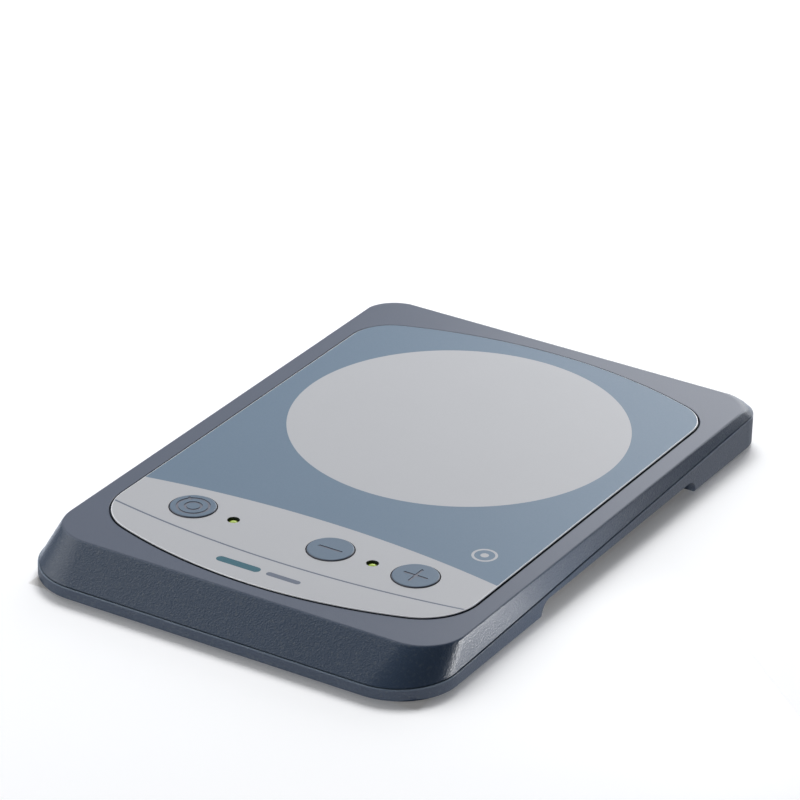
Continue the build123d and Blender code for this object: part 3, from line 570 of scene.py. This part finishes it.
def cover_wall_loops():
    """Loops of the outer wall from the joint line up to the flat top, with a soft edge between them."""
    low = rounded_outline(
        base_high.x - LEDGE,
        base_low.y + LEDGE,
        base_high.y - LEDGE,
        BASE_FRONT_RADIUS - LEDGE,
        BASE_REAR_RADIUS - LEDGE,
    )
    flat = rounded_outline(TOP_HALF_WIDTH, TOP_FRONT_Y, TOP_REAR_Y, TOP_FRONT_RADIUS, TOP_REAR_RADIUS)
    wall_radius = TOP_REAR_RADIUS - REAR_SHOULDER
    high = rounded_outline(TOP_HALF_WIDTH, TOP_FRONT_Y, TOP_REAR_Y, TOP_FRONT_RADIUS, wall_radius)
    normals = outward_normals(flat)
    loops = [[] for _ in range(WALL_STEPS + EDGE_STEPS + 2)]
    for foot, top, end, normal in zip(low, high, flat, normals):
        foot = Vector((foot.x, foot.y, joint_z(foot.y) + JOINT_GAP))
        corner = Vector((top.x, top.y, TOP_Z))
        inward = Vector((-normal.x, -normal.y, 0))
        slope = foot - corner
        shoulder = max((top - end).dot(normal), 0)
        wall_end = corner + slope.normalized() * (EDGE_ROUNDING + EDGE_SLOPE_SHARE * slope.length + shoulder)
        top_end = Vector((end.x, end.y, TOP_Z)) + inward * EDGE_ROUNDING
        for step in range(WALL_STEPS):
            loops[step].append(foot.lerp(wall_end, step / WALL_STEPS))
        for step in range(EDGE_STEPS + 1):
            share = step / EDGE_STEPS
            near, far = wall_end.lerp(corner, share), corner.lerp(top_end, share)
            loops[WALL_STEPS + step].append(near.lerp(far, share))
        loops[-1].append(top_end + inward * EDGE_BAND)
    return loops


def hollow_loop(front_y, front_radius):
    """Inside of the cover at one height."""
    return rounded_outline(HOLLOW_HALF_WIDTH, front_y, HOLLOW_REAR_Y, front_radius, HOLLOW_REAR_RADIUS)


def panel_hole_loops():
    """Holes for the keys and the indicator lamps."""
    keys = [circle(place, KEY_HOLE_RADIUS, KEY_HOLE_STEPS) for place in KEY_PLACES]
    return keys + [circle(place, LIGHT_HOLE_RADIUS, LIGHT_HOLE_STEPS) for place in LIGHT_PLACES]


def make_cover():
    """Upper shell as a closed skin: grained walls, smoother bezel, recess with holes, hollow underneath."""
    bm = bmesh.new()
    rough, smooth, dark = range(3)
    wall = cover_wall_loops()
    bridge(bm, wall[:ROUGH_WALL_LOOPS], rough)
    bridge(bm, wall[ROUGH_WALL_LOOPS - 1:], smooth)
    rim = [Vector((point.x, point.y)) for point in wall[-1]]
    recess = panel_outline(PANEL_GAP)
    outer_lip = panel_outline(PANEL_GAP + RECESS_LIP)
    support = panel_outline(PANEL_GAP + 2 * RECESS_LIP)
    lip_foot = lifted(recess, TOP_Z - RECESS_LIP)
    fill_flat(bm, TOP_Z, rim, [support], zone=lambda middle: smooth)
    bridge(bm, [lifted(support, TOP_Z), lifted(outer_lip, TOP_Z), lip_foot], smooth)
    # The recess and hole walls take the darker plastic, painted shade in the gap
    bridge(bm, [lip_foot, lifted(recess, RECESS_FLOOR_Z)], dark)
    holes = panel_hole_loops()
    fill_flat(bm, RECESS_FLOOR_Z, recess, holes, zone=lambda middle: dark)
    for hole in holes:
        bridge(bm, [lifted(hole, CEILING_Z), lifted(hole, RECESS_FLOOR_Z)], dark)
    ceiling = hollow_loop(*HOLLOW_HIGH)
    fill_flat(bm, CEILING_Z, ceiling, holes, up=False)
    skirt = [Vector((point.x, point.y, joint_z(point.y) + JOINT_GAP)) for point in hollow_loop(*HOLLOW_LOW)]
    bridge(bm, [lifted(ceiling, CEILING_Z), skirt, wall[0]], rough)
    plastics = [WALL_PLASTIC, TOP_PLASTIC, RECESS_SHADE_PLASTIC]
    finish_piece("cover_skin", bm, plastics, HOUSING_BODY, ["top_cover"], 40)


# ---------------------------------------------------------------- the panel
MARK_LOOPS = [capsule((x, MARK_Y), length, width) for x, length, width in MARK_BARS]
BAND_END_REACH = 0.3 * MM                # the panel's own point for the band is this close to the arc's end
SIDE_TOLERANCE = 1e-6
LINE_CENTRE = Vector((0, LINE_Y + LINE_RADIUS))
BAND_CENTRE = (0, BAND_TOP_Y - BAND_RADIUS)


def print_zone(point):
    """Which ink a place on the panel carries."""
    if inside(point, MARK_LOOPS[0]):
        return TEAL_INK
    if inside(point, MARK_LOOPS[1]):
        return DARK_INK
    from_line = abs((point - LINE_CENTRE).length - LINE_RADIUS)
    if abs(point.x) < LINE_HALF_LENGTH and from_line < LINE_WIDTH / 2:
        return DARK_INK
    if (point - Vector(BAND_CENTRE)).length < BAND_RADIUS:
        return LIGHT_INK
    if (point - DISC_CENTRE.xy).length < DISC_RADIUS:
        return LIGHT_INK
    from_icon = (point - ICON_PLACE).length
    if from_icon < ICON_DOT or ICON_RING[0] < from_icon < ICON_RING[1]:
        return LIGHT_INK
    return FIELD_INK


def line_edge(radius, foremost_y):
    """Open arc along one edge of the printed line, which bows towards the front."""
    turn = degrees(LINE_HALF_LENGTH / radius)
    return arc((0, foremost_y + radius), radius, -90 - turn, -90 + turn, PRINT_ARC_STEPS)


def band_edge(face):
    """Open arc that bounds the light strip; its ends are the points that the panel's loop has for them."""
    half_width = panel_high.x - PANEL_BEVEL
    turn = degrees(atan2(half_width, sqrt(BAND_RADIUS**2 - half_width**2)))
    band = arc(BAND_CENTRE, BAND_RADIUS, 90 - turn, 90 + turn, PRINT_ARC_STEPS)
    level = [point for point in face if abs(point.y - band[0].y) < BAND_END_REACH]
    ends = [point for point in level if abs(abs(point.x) - half_width) < SIDE_TOLERANCE]
    band[0] = max(ends, key=lambda point: point.x).copy()
    band[-1] = min(ends, key=lambda point: point.x).copy()
    return band


def make_panel():
    """Printed panel: the prints are parts of its face, so their edges are as sharp as the ink."""
    bm = bmesh.new()
    face = panel_outline(-PANEL_BEVEL)
    side = panel_outline(0)
    half_line = LINE_WIDTH / 2
    near = line_edge(LINE_RADIUS + half_line, LINE_Y - half_line)
    far = line_edge(LINE_RADIUS - half_line, LINE_Y + half_line)
    prints = [(band_edge(face), False), (near + far[::-1], True)]
    prints += [(circle(DISC_CENTRE, DISC_RADIUS, DISC_STEPS), True)]
    prints += [(loop, True) for loop in MARK_LOOPS]
    prints += [(circle(ICON_PLACE, radius, ICON_STEPS), True) for radius in (ICON_DOT, *ICON_RING)]
    holes = panel_hole_loops()
    fill_flat(bm, panel_high.z, face, holes, prints, zone=print_zone)
    bevel_foot = lifted(side, panel_high.z - PANEL_BEVEL)
    drop = BEVEL_MIDDLE * PANEL_BEVEL
    bevel_middle = lifted(panel_outline(-drop), panel_high.z - drop)
    # The bevel takes the near-white colour, a painted highlight along the panel's edge
    bridge(bm, [bevel_foot, bevel_middle, lifted(face, panel_high.z)], EDGE_HIGHLIGHT_INK)
    # The panel's sides and hole walls take the darker plastic, painted shade in the gap round it
    bridge(bm, [lifted(side, panel_low.z), bevel_foot], BACK_SHADE_INK)
    for hole in holes:
        bridge(bm, [lifted(hole, panel_high.z), lifted(hole, panel_low.z)], BACK_SHADE_INK)
    fill_flat(bm, panel_low.z, side, holes, up=False, zone=lambda middle: BACK_SHADE_INK)
    inks = [FIELD_PRINT, LIGHT_PRINT, DARK_PRINT, TEAL_PRINT, EDGE_PAINTED_HIGHLIGHT, RECESS_SHADE_PLASTIC]
    finish_piece("printed_panel", bm, inks, HOUSING_BODY, ["front_panel"], 14)


make_cover()
make_panel()


# ---------------------------------------------------------------- materials of the CAD nodes that stay
def paint(material, *names):
    """Gives CAD nodes their material."""
    for name in names:
        nodes[name].data.materials.clear()
        nodes[name].data.materials.append(material)


def family(*starts):
    """CAD nodes whose names start with one of these words."""
    return [name for name in nodes if name.startswith(starts)]


PAINT_PLAN = (
    (BASE_PLASTIC, ["base_shell"]),
    (KEY_PLASTIC, family("button_")),
    (LENS, family("light_")),
    (RUBBER, family("foot_pad")),
    (BOARD_MASK, ["control_board"]),
    (CHIP_BLACK, ["microcontroller", "coil_drivers", "power_inductor"]),
    (ALUMINIUM, ["capacitors"]),
    (STEM_PLASTIC, family("switch_stem_")),
    (SWITCH_BLACK, [f"switch_{name}" for name in BUTTONS]),
    (NYLON, ["coil_socket", "coil_plug", "power_connector"]),
    (WIRE_JACKET, ["power_wires"]),
    (COIL_JACKET, ["coil_wires"]),
    (ADHESIVE_FOAM, ["panel_adhesive"]),
    (FORMER_NYLON, family("coil_former")),
    (COPPER, family("coil_winding")),
    (CORE_STEEL, family("coil_core")),
    (STEEL, ["yoke_plate"]),
    (INLET_BLACK, ["power_inlet"]),
    (BRASS, ["power_inlet_pin", "power_inlet_tabs"]),
    (SCREW_STEEL, family("housing_screws", "board_screws", "yoke_screws")),
    (FOIL, ["rating_plate"]),
)
for material, names in PAINT_PLAN:
    paint(material, *names)


# ---------------------------------------------------------------- camera, light and floor
CAMERA_AZIMUTH, CAMERA_ELEVATION, CAMERA_ROLL = radians(30.61), radians(26.55), radians(1.512)
CAMERA_PLACE = (0.55303, -0.93608, 0.57546)
LENS_LENGTH, SENSOR_WIDTH = 210.3, 36    # millimetres, as Blender's cameras have them
FLOOR_REACH = 6.0
SHADE_INSET, SHADE_HEIGHT = 3 * MM, 0.02 * MM
SURROUNDINGS_COLOUR = (0.94, 0.99, 1.10, 1)
SURROUNDINGS_DIM, SURROUNDINGS_BRIGHT = 0.05, 0.92
BRIGHT_SIDE, BRIGHT_FROM = (-0.42, 0.70, 0.58), 0.6      # direction, and the cosine from which it brightens
# How bright the table looks from the object, by how far down the look goes: 0 level, 1 straight down
TABLE_SHEEN = ((0.0, 0.0), (0.12, 1.0), (0.27, 1.9), (0.42, 0.30))
# Name, place, target, size, power, and whether it shows in reflections
LIGHTS = (
    ("key", (-0.30, 0.60, 1.00), (0, 0, 0), (0.60, 0.60), 11.6, False),
    ("rear_softbox", (0.02, 0.80, 0.28), (0.02, 0, 0.20), (0.85, 0.46), 2.88, True),
    ("overhead", (-0.95, -0.10, 0.85), (0, 0, 0), (0.80, 0.80), 1.9, True),
    ("left_softbox", (-0.75, -0.25, 0.35), (0, -0.05, 0), (0.5, 0.5), 0.40, True),
    ("front_card", (-0.40, -0.75, 0.22), (0, -0.06, 0.01), (0.35, 0.20), 1.3, True),
    ("side_card", (0.118, -0.022, 0.006), (0.06, -0.09, 0.006), (0.05, 0.009), 0.022, True),
)


def set_camera():
    """Long lens, looking down on the stirrer from the front right."""
    azimuth, elevation, roll = CAMERA_AZIMUTH, CAMERA_ELEVATION, CAMERA_ROLL
    back = Vector((sin(azimuth) * cos(elevation), -cos(azimuth) * cos(elevation), sin(elevation)))
    level = Vector((cos(azimuth), sin(azimuth), 0))
    rise = back.cross(level)
    right = cos(roll) * level + sin(roll) * rise
    up = cos(roll) * rise - sin(roll) * level
    data = bpy.data.cameras.new("camera")
    data.lens = LENS_LENGTH
    data.sensor_width = SENSOR_WIDTH
    camera = bpy.data.objects.new("camera", data)
    place = Matrix((right, up, back)).transposed().to_4x4()
    place.translation = Vector(CAMERA_PLACE)
    camera.matrix_world = place
    bpy.context.scene.collection.objects.link(camera)
    bpy.context.scene.camera = camera


def area_light(name, place, target, size, power, glints):
    """Rectangular soft box that points at its target; without glints it gives only diffuse light."""
    data = bpy.data.lights.new(name, "AREA")
    data.shape = "RECTANGLE"
    data.size, data.size_y = size
    data.energy = power
    light = bpy.data.objects.new(name, data)
    light.visible_camera = False
    light.visible_glossy = glints
    place, target = Vector(place), Vector(target)
    light.location = place
    light.rotation_euler = (place - target).to_track_quat("Z", "Y").to_euler()
    bpy.context.scene.collection.objects.link(light)


def stage_plane(name, half_width, half_depth, z, material):
    """Level rectangle about the origin that isn't part of the object."""
    mesh = bpy.data.meshes.new(name)
    signs = ((-1, -1), (1, -1), (1, 1), (-1, 1))
    mesh.from_pydata([(x * half_width, y * half_depth, z) for x, y in signs], [], [(0, 1, 2, 3)])
    mesh.materials.append(material)
    plane = bpy.data.objects.new(name, mesh)
    bpy.context.scene.collection.objects.link(plane)
    return plane


def make_floor():
    """Plain pale floor that the camera sees, and the dark shade under the object that its underside sees."""
    floor = stage_plane("floor", FLOOR_REACH, FLOOR_REACH, 0, FLOOR)
    floor.visible_diffuse = False
    floor.visible_glossy = False
    reach = (base_high.x - SHADE_INSET, base_high.y - SHADE_INSET)
    shade = stage_plane("floor_shade", *reach, SHADE_HEIGHT, RUBBER)
    shade.visible_camera = False
    shade.visible_shadow = False


def set_world():
    """Studio surroundings: dim walls that brighten smoothly towards one side, and the table's sheen below."""
    world = bpy.data.worlds.new("studio")
    world.use_nodes = True
    tree = world.node_tree
    background = tree.nodes["Background"]
    direction = tree.nodes.new("ShaderNodeTexCoord").outputs["Generated"]
    turn = tree.nodes.new("ShaderNodeVectorMath")
    turn.operation = "DOT_PRODUCT"
    turn.inputs[1].default_value = Vector(BRIGHT_SIDE).normalized()
    tree.links.new(direction, turn.inputs[0])
    ramp = tree.nodes.new("ShaderNodeMapRange")
    ramp.interpolation_type = "SMOOTHSTEP"
    ramp.inputs["From Min"].default_value = BRIGHT_FROM
    ramp.inputs["To Min"].default_value = SURROUNDINGS_DIM
    ramp.inputs["To Max"].default_value = SURROUNDINGS_BRIGHT
    tree.links.new(turn.outputs["Value"], ramp.inputs["Value"])
    sheen = tree.nodes.new("ShaderNodeValToRGB")
    stops = sheen.color_ramp.elements
    for index, (drop, strength) in enumerate(TABLE_SHEEN):
        stop = stops[index] if index < 2 else stops.new(1)
        stop.position = drop
        stop.color = (strength, strength, strength, 1)
    tree.links.new(spread(tree, along_axis(tree, direction, "Z"), 0, 1, 0.0, -1.0), sheen.inputs["Fac"])
    total = tree.nodes.new("ShaderNodeMath")
    tree.links.new(ramp.outputs["Result"], total.inputs[0])
    tree.links.new(sheen.outputs["Color"], total.inputs[1])
    tree.links.new(total.outputs[0], background.inputs["Strength"])
    background.inputs["Color"].default_value = SURROUNDINGS_COLOUR
    bpy.context.scene.world = world


set_camera()
make_floor()
bpy.context.scene.view_settings.view_transform = "Standard"
set_world()
for light in LIGHTS:
    area_light(*light)
